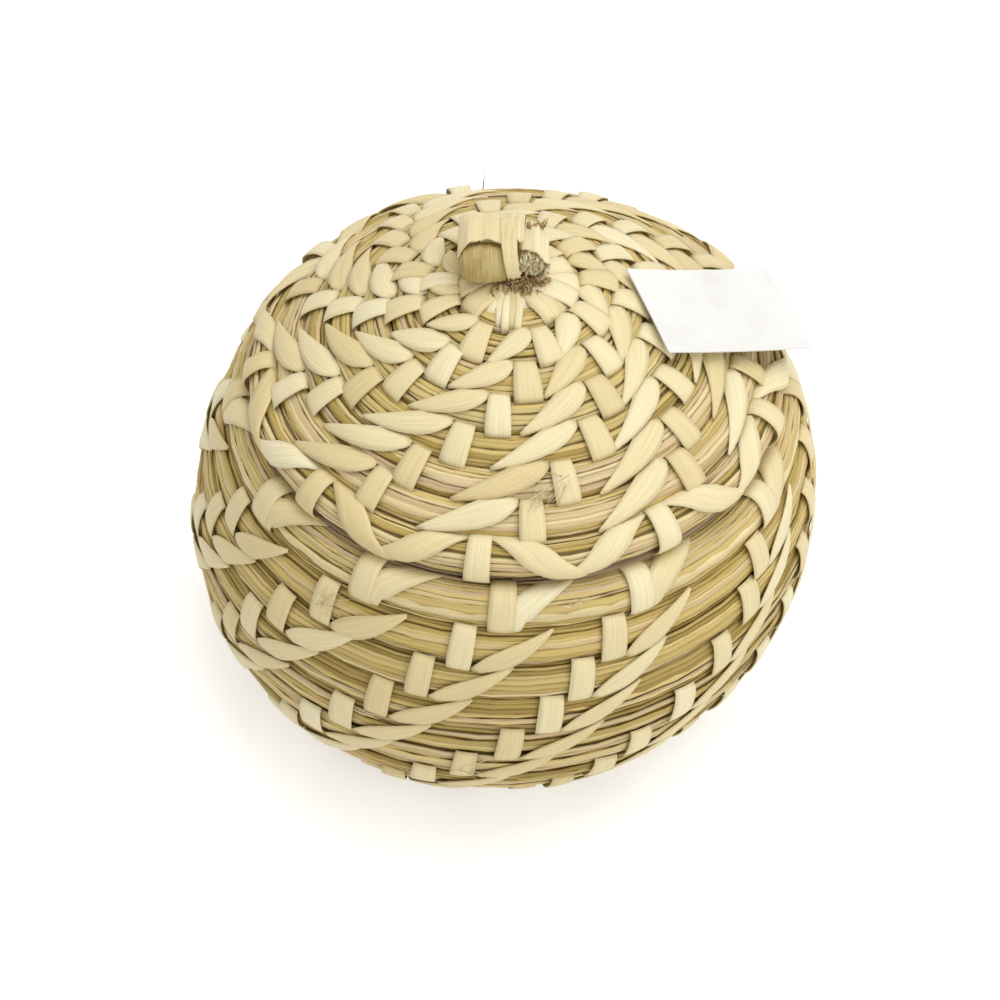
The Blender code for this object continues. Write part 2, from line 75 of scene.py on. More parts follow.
# Floor, backdrop and light. A plain white floor runs on as a white world, and keeps the soft shadow.
# Two large soft lamps hang above and in front, and the world fills in all round.
FLOOR_GLOW = 0.42
ROOM_LEVEL = 0.66


def seen_directly(nodes, links):
    """1 for what the camera sees, straight, mirrored or through glass, and 0 for the light on things."""
    rays = nodes.new("ShaderNodeLightPath")
    seen = rays.outputs["Is Camera Ray"]
    for kind in ("Is Glossy Ray", "Is Transmission Ray"):
        either = nodes.new("ShaderNodeMath")
        either.operation = "MAXIMUM"
        links.new(seen, either.inputs[0])
        links.new(rays.outputs[kind], either.inputs[1])
        seen = either.outputs["Value"]
    return seen


bpy.ops.object.select_all(action="DESELECT")
bpy.ops.mesh.primitive_plane_add(size=6, location=(0, 0, -0.0002))
floor = bpy.context.object
floor.name = "floor"
floor_material = bpy.data.materials.new("White floor")
floor_material.use_nodes = True
floor_nodes = floor_material.node_tree.nodes
floor_links = floor_material.node_tree.links
floor_shader = floor_nodes["Principled BSDF"]
floor_shader.inputs["Base Color"].default_value = (0.86, 0.86, 0.85, 1)
floor_shader.inputs["Roughness"].default_value = 0.9
floor_glow = floor_nodes.new("ShaderNodeEmission")
floor_glow.inputs["Color"].default_value = (1, 1, 1, 1)
floor_strength = floor_nodes.new("ShaderNodeMath")
floor_strength.operation = "MULTIPLY"
floor_strength.inputs[1].default_value = FLOOR_GLOW
floor_links.new(seen_directly(floor_nodes, floor_links), floor_strength.inputs[0])
floor_links.new(floor_strength.outputs["Value"], floor_glow.inputs["Strength"])
floor_sum = floor_nodes.new("ShaderNodeAddShader")
floor_links.new(floor_shader.outputs["BSDF"], floor_sum.inputs[0])
floor_links.new(floor_glow.outputs["Emission"], floor_sum.inputs[1])
floor_links.new(floor_sum.outputs["Shader"], floor_nodes["Material Output"].inputs["Surface"])
floor.data.materials.append(floor_material)

world = bpy.data.worlds.new("White room")
bpy.context.scene.world = world
world.use_nodes = True
world_nodes = world.node_tree.nodes
world_links = world.node_tree.links
room_light = world_nodes["Background"]
room_light.inputs["Color"].default_value = (1, 0.98, 0.95, 1)
room_light.inputs["Strength"].default_value = ROOM_LEVEL
room_seen = world_nodes.new("ShaderNodeBackground")
room_seen.inputs["Color"].default_value = (1, 1, 1, 1)
room_seen.inputs["Strength"].default_value = 1.0
room_mix = world_nodes.new("ShaderNodeMixShader")
world_links.new(seen_directly(world_nodes, world_links), room_mix.inputs[0])
world_links.new(room_light.outputs["Background"], room_mix.inputs[1])
world_links.new(room_seen.outputs["Background"], room_mix.inputs[2])
world_links.new(room_mix.outputs["Shader"], world_nodes["World Output"].inputs["Surface"])

for lamp_name, lamp_place, lamp_size, lamp_power in (
    ("Top softbox", (0.25, 0.15, 1.10), 0.9, 6.4),
    ("Front softbox", (0.55, -0.80, 0.60), 0.8, 3.3),
):
    lamp_data = bpy.data.lights.new(lamp_name, "AREA")
    lamp_data.size = lamp_size
    lamp_data.energy = lamp_power
    lamp = bpy.data.objects.new(lamp_name, lamp_data)
    bpy.context.scene.collection.objects.link(lamp)
    lamp.location = lamp_place
    lamp.rotation_euler = (SIGHT_POINT - lamp.location).to_track_quat("-Z", "Y").to_euler()

bpy.context.scene.view_settings.view_transform = "Standard"

# Bowl bundle. One bundle of long dry grass blades, wound from the middle of the base up to the mouth.
# Blades are laid in as others run out, so that they lie side by side, some proud and some sunk.
FRONT = 1.5 * math.pi
BASE_HEIGHT = 0.0036
BASE_RADIUS = 0.038
BELLY_HEIGHT = 0.050
BELLY_RADIUS = 0.0754
MOUTH_HEIGHT = 0.086
UNDERSIDE = 0.0007
LEAN = 0.07
TIP_TURN = math.radians(75)


def lengths_along(across, up):
    """The length of a line of points from its start to each of them."""
    return np.concatenate(([0.0], np.cumsum(np.hypot(np.diff(across), np.diff(up)))))


class Bundle:
    """A bundle wound round after round along a wall. Its angle is 0 at the front of its last round.

    Outside is 1 or -1, the side of the wall that faces out. A bundle that leans is the bowl's: it is
    pressed flat where it stands, and its middle shifts sideways as it rises.
    """

    def __init__(self, radii, heights, outside, pitch, half_width, half_depth, start, end, turn, leans):
        self.lengths = lengths_along(radii, heights)
        self.radii = radii
        self.heights = heights
        self.outside = outside
        self.pitch = pitch
        self.half_width = half_width
        self.half_depth = half_depth
        self.end = end
        self.first = TAU * (start - end) / pitch
        self.last = math.pi
        self.turn = turn
        self.leans = leans

    def wall(self, distance):
        radius = np.interp(distance, self.lengths, self.radii)
        return radius, np.interp(distance, self.lengths, self.heights)

    def distance(self, angle):
        rounds = (angle - self.first) / TAU
        level = np.clip(0.15 * rounds, 0, 0.5)
        return self.end + self.pitch * (angle - level * np.sin(angle)) / TAU

    def fullness(self, angle):
        """Share of the full section. The bundle thins out towards both tips."""
        ahead = (angle - self.first) / TIP_TURN
        behind = (self.last - angle) / TIP_TURN
        return 0.3 + 0.7 * np.sin(math.pi / 2 * np.clip(np.minimum(ahead, behind), 0, 1))

    def place(self, angle, along, out):
        """The point that lies so far along the wall and out of it from the bundle's middle."""
        middle = self.distance(angle)
        radius_before, height_before = self.wall(middle - 0.0005)
        radius_after, height_after = self.wall(middle + 0.0005)
        run = np.hypot(radius_after - radius_before, height_after - height_before)
        outward = (radius_after - radius_before) / run
        upward = (height_after - height_before) / run
        radius, height = self.wall(middle)
        radius = radius + along * outward + out * self.outside * upward
        height = height + along * upward - out * self.outside * outward
        if self.leans:
            low = 0.0002 + 0.0005 * np.exp(np.minimum(height - UNDERSIDE, 0) / 0.0005)
            height = np.where(height < UNDERSIDE, low, height)
        turned = FRONT + self.turn * angle
        shift = LEAN * (height - BELLY_HEIGHT) if self.leans else LID_AXIS
        return np.stack((radius * np.cos(turned) + shift, radius * np.sin(turned), height), axis=-1)

    def skin(self, angle, around, lift):
        """The point at a turn around the bundle's section, 0 outside and a quarter turn at the far seam."""
        full = self.fullness(angle)
        back = np.where(angle > 0, -self.half_width * (1 - full), 0.0)
        side = np.sign(np.sin(around)) * np.abs(np.sin(around)) ** 0.82
        out = np.sign(np.cos(around)) * np.abs(np.cos(around)) ** 0.82
        along = side * self.half_width * full * lift + back
        return self.place(angle, along, out * self.half_depth * full * lift)


def bowl_bundle():
    """The bowl's bundle: flat at the base, up round the belly, and in again to the mouth."""
    turns = np.linspace(0, math.pi / 2, 60)
    rise = np.linspace(0, 1.3, 80)[1:]
    swell = BASE_RADIUS + 0.0374 * np.sin(turns)
    radii = np.concatenate(([0.0], swell, BELLY_RADIUS - 0.0089 * rise ** 1.8))
    heights = np.concatenate((
        [BASE_HEIGHT],
        BELLY_HEIGHT - (BELLY_HEIGHT - BASE_HEIGHT) * np.cos(turns),
        BELLY_HEIGHT + 0.036 * rise,
    ))
    end = float(np.interp(MOUTH_HEIGHT, heights[1:], lengths_along(radii, heights)[1:]))
    return Bundle(
        radii, heights, outside=1, pitch=0.0096, half_width=0.00495, half_depth=0.0043,
        start=0.00465, end=end, turn=-1, leans=True,
    )


def prism_faces(first, steps, sides):
    """Faces of a closed prism whose points start at a number and run ring after ring."""
    faces = []
    for step in range(steps):
        here = first + step * sides
        for side in range(sides):
            after = (side + 1) % sides
            faces.append((here + side, here + after, here + sides + after, here + sides + side))
    faces.append(tuple(range(first + sides - 1, first - 1, -1)))
    faces.append(tuple(range(first + steps * sides, first + steps * sides + sides)))
    return faces


def lay_blades(name, bundle, material, lanes, per_round, seed):
    """Closed flat blades around a bundle, lane by lane, each for a round or so at most."""
    skin = bundle.skin
    last = bundle.last
    chance = np.random.default_rng(seed)
    points = []
    faces = []
    tones = []
    grain = []
    for lane in range(lanes):
        begin = bundle.first
        while begin < last - 0.05:
            finish = min(last, begin + chance.uniform(1.5, 7.5))
            if last - finish < 0.5:
                finish = last
            count = max(4, round((finish - begin) / TAU * per_round))
            angle = np.linspace(begin, finish, count + 1)
            share = np.linspace(0, 1, count + 1)
            near_tip = np.minimum(share, 1 - share) * (finish - begin)
            thin = np.clip(near_tip / 0.35, 0, 1) ** 0.6
            half = 0.62 * TAU / lanes * chance.uniform(0.75, 1.25) * (0.25 + 0.75 * thin)
            wander = chance.uniform(-0.25, 0.25) * TAU / lanes
            sway = chance.uniform(-0.3, 0.3)
            sway = sway * np.sin(angle * chance.uniform(0.7, 1.8) + chance.uniform(0, TAU))
            around = TAU * (lane + 0.5) / lanes + wander + sway * TAU / lanes
            depth = 0.975 - chance.uniform(0, 0.075) - 0.10 * (1 - thin)
            depth = depth + 0.012 * np.sin(angle * chance.uniform(1.5, 3.5) + chance.uniform(0, TAU))
            crown = chance.uniform(0.035, 0.06)
            tone = chance.uniform(0, 1)
            ring = [
                skin(angle, around - half, depth - 0.015),
                skin(angle, around - half * 0.45, depth + crown),
                skin(angle, around + half * 0.45, depth + crown),
                skin(angle, around + half, depth - 0.015),
                skin(angle, around, depth - 0.07),
            ]
            faces.extend(prism_faces(len(points), count, len(ring)))
            rows = np.stack(ring, axis=1).reshape(-1, 3)
            points.extend(rows.tolist())
            tones.extend([tone] * len(rows))
            offset = chance.uniform(0, 50)
            for step in range(count + 1):
                for across in (0.0, 0.27, 0.73, 1.0, 0.5):
                    grain.append((angle[step] * 6.5 + offset, across + lane * 3.0))
            begin = finish - 0.12 if finish < last else last
    return add_mesh(name, points, faces, tones, grain, material)


def add_mesh(name, points, faces, tones, grain, material):
    """A piece with its faces turned outward, and a tone and the grain's place for each point."""
    mesh = bpy.data.meshes.new(name)
    mesh.from_pydata(points, [], faces)
    tone_layer = mesh.attributes.new("tone", "FLOAT", "POINT")
    tone_layer.data.foreach_set("value", np.array(tones, np.float32))
    corners = np.zeros(len(mesh.loops), np.int32)
    mesh.loops.foreach_get("vertex_index", corners)
    layer = mesh.uv_layers.new(name="grain")
    layer.data.foreach_set("uv", np.array(grain, np.float32)[corners].ravel())
    shape = bmesh.new()
    shape.from_mesh(mesh)
    bmesh.ops.recalc_face_normals(shape, faces=shape.faces)
    shape.to_mesh(mesh)
    shape.free()
    mesh.shade_smooth()
    mesh.materials.append(material)
    item = bpy.data.objects.new(name, mesh)
    bpy.context.scene.collection.objects.link(item)
    return item


def bundle_core(name, bundle, per_round):
    """The bundle's inside in dark brown, painted shade, which shows only between the blades."""
    sides = 10
    count = round((bundle.last - bundle.first) / TAU * per_round)
    angle = np.linspace(bundle.first, bundle.last, count + 1)
    ring = [bundle.skin(angle, np.full_like(angle, TAU * side / sides), 0.90) for side in range(sides)]
    points = np.stack(ring, axis=1).reshape(-1, 3).tolist()
    grain = [(number // sides * 0.4, number % sides) for number in range(len(points))]
    return add_mesh(name, points, prism_faces(0, count, sides), [0.0] * len(points), grain, shade_core_material)


def ramp(nodes, stops):
    """A colour ramp with a stop for each pair of place and colour."""
    node = nodes.new("ShaderNodeValToRGB")
    elements = node.color_ramp.elements
    while len(elements) < len(stops):
        elements.new(0.5)
    for element, (place, colour) in zip(elements, stops):
        element.position = place
        element.color = (*colour, 1)
    return node


def bare_material(name, roughness):
    """A dry, slightly glossy material with nothing on it yet, and its nodes, links and shader."""
    material = bpy.data.materials.new(name)
    material.use_nodes = True
    nodes = material.node_tree.nodes
    shader = nodes["Principled BSDF"]
    shader.inputs["Roughness"].default_value = roughness
    shader.inputs["Specular IOR Level"].default_value = 0.35
    return material, nodes, material.node_tree.links, shader


def add_streaks(nodes, links, shader, colours, grain, scale, shades, relief):
    """Colours darkened in streaks along the grain, with fine ribs in relief."""
    stretch = nodes.new("ShaderNodeMapping")
    stretch.inputs["Scale"].default_value = scale
    links.new(grain, stretch.inputs["Vector"])
    streaks = nodes.new("ShaderNodeTexNoise")
    streaks.inputs["Scale"].default_value = 1.0
    streaks.inputs["Detail"].default_value = 4.0
    streaks.inputs["Roughness"].default_value = 0.6
    links.new(stretch.outputs["Vector"], streaks.inputs["Vector"])
    shade = ramp(nodes, [(place, (level,) * 3) for place, level in shades])
    links.new(streaks.outputs["Fac"], shade.inputs["Fac"])
    mix = nodes.new("ShaderNodeMix")
    mix.data_type = "RGBA"
    mix.blend_type = "MULTIPLY"
    mix.inputs["Factor"].default_value = 1.0
    links.new(colours.outputs["Color"], mix.inputs["A"])
    links.new(shade.outputs["Color"], mix.inputs["B"])
    links.new(mix.outputs["Result"], shader.inputs["Base Color"])
    ribs = nodes.new("ShaderNodeBump")
    ribs.inputs["Strength"].default_value = relief
    ribs.inputs["Distance"].default_value = 0.0003
    links.new(streaks.outputs["Fac"], ribs.inputs["Height"])
    links.new(ribs.outputs["Normal"], shader.inputs["Normal"])


def leaf_material(name, stops, roughness, across, along, relief, streak):
    """Dry leaf or grass: a tone for each blade, and streaks and ribs along its grain."""
    material, nodes, links, shader = bare_material(name, roughness)
    tone = nodes.new("ShaderNodeAttribute")
    tone.attribute_name = "tone"
    colours = ramp(nodes, stops)
    links.new(tone.outputs["Fac"], colours.inputs["Fac"])
    grain = nodes.new("ShaderNodeUVMap")
    grain.uv_map = "grain"
    shades = ((0.30, 1 - streak), (0.52, 1 - streak * 0.35), (0.70, 1.0))
    add_streaks(nodes, links, shader, colours, grain.outputs["UV"], (along, across, 1), shades, relief)
    return material


grass_material = leaf_material(
    "Dry grass",
    (
        (0.00, (0.30, 0.195, 0.040)),
        (0.12, (0.49, 0.350, 0.095)),
        (0.35, (0.64, 0.480, 0.160)),
        (0.60, (0.74, 0.58, 0.235)),
        (0.80, (0.67, 0.505, 0.30)),
        (0.90, (0.83, 0.69, 0.36)),
        (1.00, (0.57, 0.43, 0.14)),
    ),
    roughness=0.55, across=2.2, along=0.12, relief=0.5, streak=0.35,
)
# The core's dark brown colours are painted shade for the gaps between the blades, not the grass's own colour.
shade_core_material = leaf_material(
    "Grass core in painted shade",
    ((0.0, (0.20, 0.13, 0.04)), (1.0, (0.30, 0.20, 0.07))),
    roughness=0.8, across=3.0, along=0.3, relief=0.4, streak=0.4,
)

bowl = bowl_bundle()
bowl_grass = lay_blades("bowl_grass", bowl, grass_material, lanes=24, per_round=40, seed=11)
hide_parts("bowl_coil")
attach(bowl_grass, "bowl")
bowl_core = bundle_core("bowl_core", bowl, per_round=36)
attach(bowl_core, "bowl")

# Bowl stitches. Each is a straight strip and a leaning leaf-shaped strip of pale leaf from one hole.
# The next round's stitch splits the end of the leaning strip, and the stitches line up in leaning arms.
STITCH_REACH = 1.29
STITCH_WIDTH = 0.0057


def eased(values, way):
    """Values spread from one end of a strip to the other, with their corners rounded."""
    spread = np.interp(way, np.linspace(way[0], way[-1], len(values)), values)
    for _ in range(2):
        spread[1:-1] = np.convolve(spread, (0.25, 0.5, 0.25), "valid")
    return spread


class LeafSheet:
    """Strips of leaf gathered into one piece, most of them laid over a bundle."""

    def __init__(self, bundle, seed):
        self.bundle = bundle
        self.chance = np.random.default_rng(seed)
        self.points = []
        self.faces = []
        self.tones = []
        self.grain = []

    def lay(self, columns, lengthwise, crosswise, tone=None):
        """One strip from its columns of points, with its grain along them."""
        rows = len(columns[0])
        start = len(self.points)
        tone = self.chance.uniform(0, 1) if tone is None else tone
        shift = self.chance.uniform(0, 90)
        for column, points in enumerate(columns):
            self.points.extend(np.asarray(points).tolist())
            self.tones.extend([tone] * rows)
            across = np.broadcast_to(crosswise[column], rows)
            for row in range(rows):
                self.grain.append((lengthwise[row] * 100, across[row] * 100 + shift))
            if column > 0:
                for row in range(rows - 1):
                    here = start + (column - 1) * rows + row
                    self.faces.append((here, here + 1, here + rows + 1, here + rows))

    def strip(self, middle, arcs, halves, lifts, crown, inside=False, until=1.0):
        """A strip from seam to seam. Arcs, halves and lifts run from the earlier seam to the later one."""
        bundle = self.bundle
        rows, columns = (9, 3) if inside else (13, 5)
        way = np.linspace(-1, until, rows)
        arc = eased(arcs, way)
        half = eased(halves, way)
        lift = eased(lifts, way) - 0.0005 * np.clip((np.abs(way) - 0.88) / 0.12, 0, 1)
        reach = STITCH_REACH * bundle.pitch / 2
        climb = reach * np.gradient(way)
        drift = np.gradient(arc)
        size = np.hypot(climb, drift)
        radius, _ = bundle.wall(bundle.distance(np.float64(middle)))
        twist = self.chance.uniform(-0.00012, 0.00012)
        shares = np.linspace(-1, 1, columns)
        laid = []
        for share in shares:
            along = reach * way - share * half * drift / size
            out = bundle.half_depth * (1 - 0.30 * np.minimum(np.abs(along / reach), 1.1) ** 2.4)
            out = out + lift + crown * (1 - share ** 2) + twist * share
            angle = middle + (arc + share * half * climb / size) / radius
            full = np.where(angle > 0, bundle.fullness(angle), 1.0)
            full = 1 - (1 - full) * np.clip((along / bundle.half_width + 1.2) / 0.7, 0, 1)
            along = along * full - bundle.half_width * (1 - full)
            laid.append(bundle.place(angle, along, -out * full if inside else out * full))
        self.lay(laid, np.cumsum(size), [share * half for share in shares])

    def wind(self, middle, arcs, arounds, halves, lift, crown, rows=21):
        """A strip over the edge of the last round, from one turn around the bundle to another."""
        bundle = self.bundle
        way = np.linspace(0, 1, rows)
        arc = eased(arcs, way)
        around = eased(arounds, way)
        half = eased(halves, way)
        climb = np.gradient(around) * bundle.half_depth
        drift = np.gradient(arc)
        size = np.hypot(climb, drift)
        radius, _ = bundle.wall(bundle.distance(np.float64(middle)))
        shares = np.linspace(-1, 1, 5)
        laid = []
        for share in shares:
            turned = around - share * half * drift / size / bundle.half_depth
            angle = middle + (arc + share * half * climb / size) / radius
            rise = 1 + (lift + crown * (1 - share ** 2)) / bundle.half_depth
            laid.append(bundle.skin(angle, turned, rise))
        self.lay(laid, np.cumsum(size), [share * half for share in shares])

    def piece(self, name, material, thickness=0.00035):
        """All the strips as one mesh, given the thickness of a leaf."""
        item = add_mesh(name, self.points, self.faces, self.tones, self.grain, material)
        solid = item.modifiers.new("Leaf thickness", "SOLIDIFY")
        solid.thickness = thickness
        solid.offset = 0
        bpy.ops.object.select_all(action="DESELECT")
        bpy.context.view_layer.objects.active = item
        item.select_set(True)
        bpy.ops.object.modifier_apply(modifier="Leaf thickness")
        return item

    def stitch(self, middle, leaf_width, span, limit, last=False):
        """One split stitch: its straight strip, its leaning strip and their backs inside."""
        chance = self.chance
        half = min(STITCH_WIDTH / 2, limit) * chance.uniform(0.94, 1.05)
        leaf = min(leaf_width / 2, limit * 1.1) * chance.uniform(0.92, 1.08)
        tilt = chance.uniform(-0.0002, 0.0006)
        near = -half - 0.0002
        far = near - span
        bow = (near + far) / 2 + chance.uniform(-0.0006, 0.0006)
        straight = (half * 0.9, half, half, half, half * 0.93)
        leaning = (0.0012, leaf * 0.92, leaf, leaf * 0.88, leaf * 0.66, leaf * 0.42, leaf * 0.10)
        if last:
            arounds = np.radians((-72, 160))
            leaning = (0.0008, leaf * 0.55, leaf * 0.95, leaf, leaf * 0.9, leaf * 0.8)
            self.wind(middle, (near, near, bow, far), arounds, leaning, 0.0005, 0.0002)
            self.wind(middle, (tilt, -tilt), arounds, straight, 0.0008, 0.0001)
            return
        self.strip(middle, (near, bow, far), leaning, (0.0006, 0.00045, 0.0003, 0.0), 0.00022, until=0.86)
        self.strip(middle, (tilt, -tilt), straight, (0.0007, 0.0007), 0.00012)
        self.strip(middle, (near, bow, far), leaning, (0.0003, 0.0003), 0.0001, inside=True)
        self.strip(middle, (tilt, -tilt), straight, (0.0006, 0.0006), 0.0001, inside=True)


strip_material = leaf_material(
    "Pale leaf strip",
    (
        (0.0, (0.73, 0.59, 0.30)),
        (0.35, (0.79, 0.665, 0.375)),
        (0.7, (0.83, 0.72, 0.43)),
        (1.0, (0.86, 0.775, 0.51)),
    ),
    roughness=0.5, across=34.0, along=0.6, relief=0.45, streak=0.2,
)

BOWL_ARMS = (-178, -148.5, -119, -89.5, -60, -26.7, 2, 30.3, 57.2, 86.7, 116.2, 145.7)
ARM_SHIFTS = {
    5: (1.9, 1.1, 0.3, -1.2, -1.4, -0.6),
    7: (-1.1, -1.0, 1.1, 0.9),
    4: (1.6, 0.6, -2.1, -1.3, 0, 1),
}
BOWL_STEP = math.radians(6.7)
for arm, arm_angle in enumerate(BOWL_ARMS):
    sheet = LeafSheet(bowl, 100 + arm)
    for row in range(13):
        shifts = ARM_SHIFTS.get(arm, ())
        shift = shifts[row] if row < len(shifts) else 0
        middle = math.radians(arm_angle + shift) - row * (TAU - BOWL_STEP)
        radius = float(bowl.wall(bowl.distance(np.float64(middle)))[0])
        if radius < 0.008 or (row > 8 and arm % 2) or (row > 10 and arm % 4):
            continue
        spacing = TAU * radius / len(BOWL_ARMS) * (1 if row < 9 else 2)
        span = min(math.radians(14) * radius, spacing * 0.6)
        sheet.stitch(middle, leaf_width=0.0062, span=span, limit=spacing / 5, last=row == 0)
    piece = sheet.piece(f"bowl_stitches_{arm + 1:02d}", strip_material)
    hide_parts(f"bowl_stitch_arm_{arm + 1:02d}")
    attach(piece, "bowl")

# Lid bundle and stitches. The lid is coiled in the same way from its top outwards, as a shallow dome.
# Its last round is bound with a zigzag strip over the edge.
RIM_HEIGHT = 0.0962
DOME_RISE = 0.0262
LID_RADIUS = 0.061
LID_PITCH = 0.0081
LID_HALF_DEPTH = 0.0038
lid_radii = np.linspace(0, 0.0691, 120)
lid_heights = RIM_HEIGHT + DOME_RISE * (1 - (lid_radii / LID_RADIUS) ** 1.7)
lid_end = float(np.interp(LID_RADIUS, lid_radii, lengths_along(lid_radii, lid_heights)))
lid = Bundle(
    lid_radii, lid_heights, outside=-1, pitch=LID_PITCH, half_width=0.0042, half_depth=LID_HALF_DEPTH,
    start=0.004, end=lid_end, turn=1, leans=False,
)
lid_grass = lay_blades("lid_grass", lid, grass_material, lanes=22, per_round=40, seed=23)
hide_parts("lid_coil")
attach(lid_grass, "lid")
lid_core = bundle_core("lid_core", lid, per_round=36)
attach(lid_core, "lid")

LID_ARMS = 9
LID_STEP = math.radians(12)
LID_FRONT = math.radians(-7)
LID_SHIFTS = {
    1: (1.4, -2, -7.4, -11.9, -18.6),
    2: (-1.6, -3.6, -9.1, -10.2, -10.7, -12.7),
    3: (-0.5, -6, -7.2, -7.4, -7.3, -3.7),
    4: (-0.4, -3, -2.2, -4.4, -4.4, -0.9),
    5: (1.3, -4.2, -6, -6, -4),
}
for arm in range(LID_ARMS):
    sheet = LeafSheet(lid, 300 + arm)
    last_angle = LID_FRONT + (arm - 4 - LID_ARMS) * (TAU - LID_STEP) / LID_ARMS
    for row in range(6):
        shifts = LID_SHIFTS.get(arm, (0, -4, -6, -7, -7))
        shift = math.radians(shifts[min(row, len(shifts) - 1)])
        middle = last_angle + shift - row * (TAU - LID_STEP)
        radius = float(lid.wall(lid.distance(np.float64(middle)))[0])
        spacing = TAU * radius / LID_ARMS
        span = min(0.0215, 0.5 * radius, spacing * 0.75)
        sheet.stitch(middle, leaf_width=0.0064, span=span, limit=spacing / 5)
    piece = sheet.piece(f"lid_stitches_{arm + 1:02d}", strip_material)
    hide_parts(f"lid_stitch_arm_{arm + 1:02d}")
    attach(piece, "lid")

# Rim binding of the lid. A strip goes back and forth over the edge of the last round, and makes a
# zigzag with a straight stitch under each of its peaks.
binding = LeafSheet(lid, 400)
peak_spacing = TAU / LID_ARMS
for peak_number in range(LID_ARMS):
    peak = LID_FRONT + (peak_number - 4) * peak_spacing
    edge_radius = float(lid.wall(lid.distance(np.float64(peak)))[0])
    half_way = edge_radius * peak_spacing / 2
    for side in (-1, 1):
        if side * (peak_number - 4) == 4:
            continue
        start_arc = side * 0.0030
        binding.wind(
            peak,
            (
                start_arc, start_arc + side * 0.004,
                side * (half_way - 0.0042), side * half_way, side * half_way,
            ),
            np.radians((-84, -52, 38, 78, 172)),
            (0.0021, 0.0025, 0.0025, 0.0024, 0.0020),
            lift=0.0005 if side < 0 else 0.0008,
            crown=0.00025,
            rows=25,
        )
    binding.wind(peak, (0.0003, -0.0003), np.radians((-74, 165)), (0.0027, 0.0028), 0.0011, 0.0001)
rim_binding = binding.piece("lid_edge_binding", strip_material)
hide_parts("lid_rim_binding")
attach(rim_binding, "lid")

# Ledge coil. A single ring of grass inside the mouth carries the lid, and is whipped to the wall with leaf
# strips.
# Its dark purple-brown colour is painted shade, for the shade under the lid's edge. A thinner packing ring
# in the same painted shade lies outside it and closes the slit there.
WHIPPINGS = 24


class Ring:
    """A closed ring of grass with a round section."""

    def __init__(self, radius, height, half_width, half_depth, axis=LID_AXIS):
        self.first = 0.0
        self.last = TAU
        self.axis = axis
        self.radius = radius
        self.height = height
        self.half_width = half_width
        self.half_depth = half_depth

    def distance(self, angle):
        return angle

    def wall(self, distance):
        return np.full_like(distance, self.radius), np.full_like(distance, self.height)

    def skin(self, angle, around, lift):
        radius = self.radius + self.half_width * np.sin(around) * lift
        height = self.height + self.half_depth * np.cos(around) * lift
        turned = FRONT + angle
        return np.stack((radius * np.cos(turned) + self.axis, radius * np.sin(turned), height), axis=-1)


# Dark purple-brown colours for the ledge and packing rings: painted shade, for the shade under the lid's
# edge.
ledge_shade_material = leaf_material(
    "Purple brown grass in painted shade",
    (
        (0.00, (0.17, 0.11, 0.06)),
        (0.30, (0.33, 0.22, 0.13)),
        (0.60, (0.45, 0.33, 0.19)),
        (0.85, (0.52, 0.42, 0.22)),
        (1.00, (0.30, 0.19, 0.14)),
    ),
    roughness=0.6, across=2.2, along=0.12, relief=0.5, streak=0.35,
)
ring = Ring(radius=0.0567, height=0.0884, half_width=0.0043, half_depth=0.0040)
ledge_grass = lay_blades("ledge_grass", ring, ledge_shade_material, lanes=18, per_round=64, seed=31)
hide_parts("ledge_coil")
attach(ledge_grass, "bowl")
ledge_core = bundle_core("ledge_core", ring, per_round=48)
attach(ledge_core, "bowl")
packing = Ring(radius=0.0626, height=0.0905, half_width=0.0019, half_depth=0.0017)
packing_grass = lay_blades("ledge_packing", packing, ledge_shade_material, lanes=9, per_round=64, seed=33)
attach(packing_grass, "bowl")
whipping = LeafSheet(ring, 500)
for number in range(WHIPPINGS):
    whipping.wind(
        number * TAU / WHIPPINGS + 0.06,
        (0.0012, -0.0012),
        np.radians((-95, 95)),
        (0.0024, 0.0026, 0.0024),
        lift=0.0003,
        crown=0.0001,
        rows=13,
    )
ledge_whipping = whipping.piece("ledge_whipping", strip_material)
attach(ledge_whipping, "bowl")

# Start of the bowl's coil. The first blades are wound on themselves into a tight knot, which closes the
# middle of the base, a little behind the face of the rounds that go on from it.
KNOT_AXIS = LEAN * (BASE_HEIGHT - BELLY_HEIGHT)
KNOT_HEIGHT = 0.0044
KNOT_ROUNDS = ((0.0080, 0.0034), (0.0034, 0.0018), (0.0007, 0.0013))
for number, (radius, half_width) in enumerate(KNOT_ROUNDS, start=1):
    knot = Ring(radius, KNOT_HEIGHT, half_width, 0.0030, KNOT_AXIS)
    knot_name = f"bowl_start_knot_{number}"
    knot_grass = lay_blades(knot_name, knot, grass_material, lanes=10, per_round=20, seed=34 + number)
    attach(knot_grass, "bowl")
knot_inside = Ring(0.0048, KNOT_HEIGHT, 0.0046, 0.0025, KNOT_AXIS)
knot_core = bundle_core("bowl_start_core", knot_inside, per_round=20)
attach(knot_core, "bowl")

